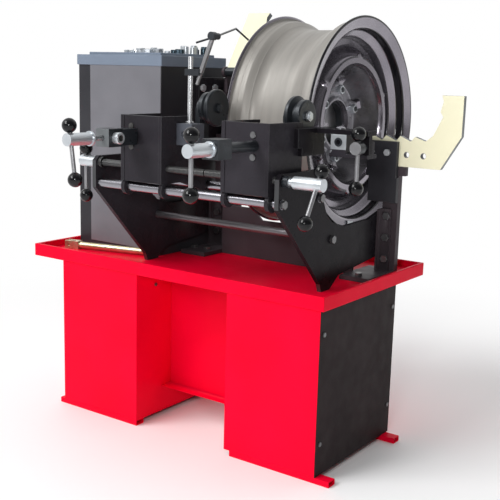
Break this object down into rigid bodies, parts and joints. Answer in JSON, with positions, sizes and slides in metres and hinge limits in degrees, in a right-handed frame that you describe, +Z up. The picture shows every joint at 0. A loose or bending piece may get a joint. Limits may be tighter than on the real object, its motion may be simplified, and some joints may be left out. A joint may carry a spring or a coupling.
{
  "type": "rim straightening machine",
  "caption": "Wheel rim straightening machine: tray table on pedestals, drive cabinet turning a clamped rim, screw-fed roller carriages on guide shafts, toothed hooks and a run-out gauge.",
  "frame": {"origin": "on the floor, under the middle of the whole machine with its rim", "axes": "+X to the right along the front, +Y to the back, +Z up"},
  "size_m": [1.14, 1.0477, 1.1611],
  "materials": {
    "red_paint": "gloss powder coat",
    "black_paint": "satin powder coat",
    "grey_paint": "satin hammered powder coat",
    "cream_paint": "satin coat",
    "chrome": "polished",
    "steel": "turned",
    "zinc": "bright zinc plate",
    "black_steel": "oil blacked",
    "black_plastic": "polished",
    "magnet_grey": "satin",
    "iron": "as cast",
    "bronze": "turned",
    "belt_rubber": "matt",
    "rim_alloy": "painted satin"
  },
  "bodies": {
    "base": {"tray_top": "red_paint", "left_pedestal": "red_paint", "right_pedestal": "red_paint", "right_side_panel": "black_paint", "kneehole_panel": "red_paint", "foot_tubes": "red_paint", "cabinet_case": "grey_paint", "cabinet_front": "grey_paint", "cabinet_lid": "grey_paint", "drive_motor": "grey_paint", "drive_belt": "belt_rubber", "bearing_housing": "iron", "spindle_bearings": "steel", "spindle_plate": "black_paint", "left_side_plate": "black_paint", "right_side_plate": "black_paint", "left_post": "black_paint", "right_post": "black_paint", "cross_panel": "black_paint", "guide_shafts": "chrome", "tie_rod": "black_paint", "frame_bolts": "steel", "front_hook": "cream_paint", "hook_clamp": "black_paint", "lever_bar": "zinc"},
    "spindle": {"spindle_shaft": "steel", "spindle_pulley": "iron", "wheel_rim": "rim_alloy", "lug_nuts": "steel"},
    "motor_rotor": {"motor_pulley": "iron"},
    "left_lead": {"left_lead_screw": "zinc"},
    "right_lead": {"right_lead_screw": "zinc"},
    "left_lead_tbar": {"left_lead_bar": "black_plastic"},
    "right_lead_tbar": {"right_lead_bar": "black_plastic"},
    "left_carriage": {"left_carriage": "grey_paint", "left_feed_nut": "bronze", "gauge_base": "magnet_grey", "gauge_post": "chrome"},
    "right_carriage": {"right_carriage": "grey_paint", "right_feed_nut": "bronze", "side_bracket": "black_paint"},
    "left_ram": {"left_ram": "steel", "left_ram_block": "black_paint", "left_axle": "steel"},
    "right_ram": {"right_ram": "steel", "right_ram_block": "black_paint", "right_axle": "steel"},
    "left_roller": {"left_roller": "black_steel"},
    "right_roller": {"right_roller": "black_steel"},
    "left_feed": {"left_feed_screw": "zinc"},
    "right_feed": {"right_feed_screw": "zinc"},
    "left_feed_tbar": {"left_feed_bar": "black_plastic"},
    "right_feed_tbar": {"right_feed_bar": "black_plastic"},
    "side_pad": {"side_pad": "zinc"},
    "side_screw": {"side_screw": "zinc"},
    "side_tbar": {"side_bar": "black_plastic"},
    "gauge_arm": {"gauge_arm": "black_steel"},
    "gauge_pointer": {"gauge_pointer": "black_steel"},
    "rear_hook": {"rear_hook": "cream_paint"}
  },
  "joints": [
    {"name": "spindle_spin", "type": "hinge", "parent": "base", "child": "spindle", "pos_m": [0.13, 0.2339, 0.853], "axis": [1, 0, 0], "continuous": true},
    {"name": "motor_spin", "type": "hinge", "parent": "base", "child": "motor_rotor", "pos_m": [-0.35, 0.1489, 0.542], "axis": [1, 0, 0], "continuous": true},
    {"name": "left_carriage_slide", "type": "slide", "parent": "base", "child": "left_carriage", "axis": [1, 0, 0], "range_m": [-0.08, 0.048]},
    {"name": "right_carriage_slide", "type": "slide", "parent": "base", "child": "right_carriage", "axis": [1, 0, 0], "range_m": [-0.06, 0.008]},
    {"name": "left_lead_turn", "type": "hinge", "parent": "base", "child": "left_lead", "pos_m": [-0.25, -0.2571, 0.745], "axis": [1, 0, 0], "range_deg": [-7201, 4321]},
    {"name": "right_lead_turn", "type": "hinge", "parent": "base", "child": "right_lead", "pos_m": [0.39, -0.2571, 0.745], "axis": [1, 0, 0], "range_deg": [-5401, 721]},
    {"name": "left_lead_bar_slide", "type": "slide", "parent": "left_lead", "child": "left_lead_tbar", "axis": [0, 0, 1], "range_m": [0, 0.06]},
    {"name": "right_lead_bar_slide", "type": "slide", "parent": "right_lead", "child": "right_lead_tbar", "axis": [0, 0.4848, 0.8746], "range_m": [0, 0.06]},
    {"name": "left_feed", "type": "slide", "parent": "left_carriage", "child": "left_ram", "axis": [0, 1, 0], "range_m": [-0.024, 0.004]},
    {"name": "right_feed", "type": "slide", "parent": "right_carriage", "child": "right_ram", "axis": [0, 1, 0], "range_m": [-0.024, 0.004]},
    {"name": "left_feed_turn", "type": "hinge", "parent": "left_ram", "child": "left_feed", "pos_m": [-0.0815, -0.3811, 0.822], "axis": [0, 1, 0], "range_deg": [-2161, 361]},
    {"name": "right_feed_turn", "type": "hinge", "parent": "right_ram", "child": "right_feed", "pos_m": [0.2875, -0.3811, 0.822], "axis": [0, 1, 0], "range_deg": [-2161, 361]},
    {"name": "left_feed_bar_slide", "type": "slide", "parent": "left_feed", "child": "left_feed_tbar", "axis": [-0.1392, 0, 0.9903], "range_m": [0, 0.06]},
    {"name": "right_feed_bar_slide", "type": "slide", "parent": "right_feed", "child": "right_feed_tbar", "axis": [0, 0, 1], "range_m": [0, 0.06]},
    {"name": "left_roller_spin", "type": "hinge", "parent": "left_ram", "child": "left_roller", "pos_m": [0.03, -0.10714, 0.894], "axis": [1, 0, 0], "continuous": true},
    {"name": "right_roller_spin", "type": "hinge", "parent": "right_ram", "child": "right_roller", "pos_m": [0.3, -0.10801, 0.886], "axis": [1, 0, 0], "continuous": true},
    {"name": "side_pad_slide", "type": "slide", "parent": "right_carriage", "child": "side_pad", "axis": [0, 1, 0], "range_m": [0, 0.008]},
    {"name": "side_screw_turn", "type": "hinge", "parent": "side_pad", "child": "side_screw", "pos_m": [0.47, -0.0911, 0.821], "axis": [0, 1, 0], "range_deg": [-1, 1441]},
    {"name": "side_bar_slide", "type": "slide", "parent": "side_screw", "child": "side_tbar", "axis": [0, 0, 1], "range_m": [0, 0.06]},
    {"name": "gauge_arm_swing", "type": "hinge", "parent": "left_carriage", "child": "gauge_arm", "pos_m": [0.033, -0.2011, 0.962], "axis": [0, 0, 1], "range_deg": [-90, 0]},
    {"name": "gauge_pointer_tilt", "type": "hinge", "parent": "gauge_arm", "child": "gauge_pointer", "pos_m": [0.101, -0.1871, 1.069], "axis": [0, 1, 0], "range_deg": [0, 22]},
    {"name": "rear_hook_tilt", "type": "hinge", "parent": "base", "child": "rear_hook", "pos_m": [-0.126, 0.2239, 0.985], "axis": [1, 0, 0], "range_deg": [-14, 32]}
  ],
  "couplings": [
    {"joint": "motor_spin", "follows": "spindle_spin", "ratio": 1.6667},
    {"joint": "left_lead_turn", "follows": "left_carriage_slide", "rad_per_m": 1570.8},
    {"joint": "right_lead_turn", "follows": "right_carriage_slide", "rad_per_m": 1570.8},
    {"joint": "left_feed_turn", "follows": "left_feed", "rad_per_m": 1570.8},
    {"joint": "right_feed_turn", "follows": "right_feed", "rad_per_m": 1570.8},
    {"joint": "side_screw_turn", "follows": "side_pad_slide", "rad_per_m": 3141.6}
  ]
}
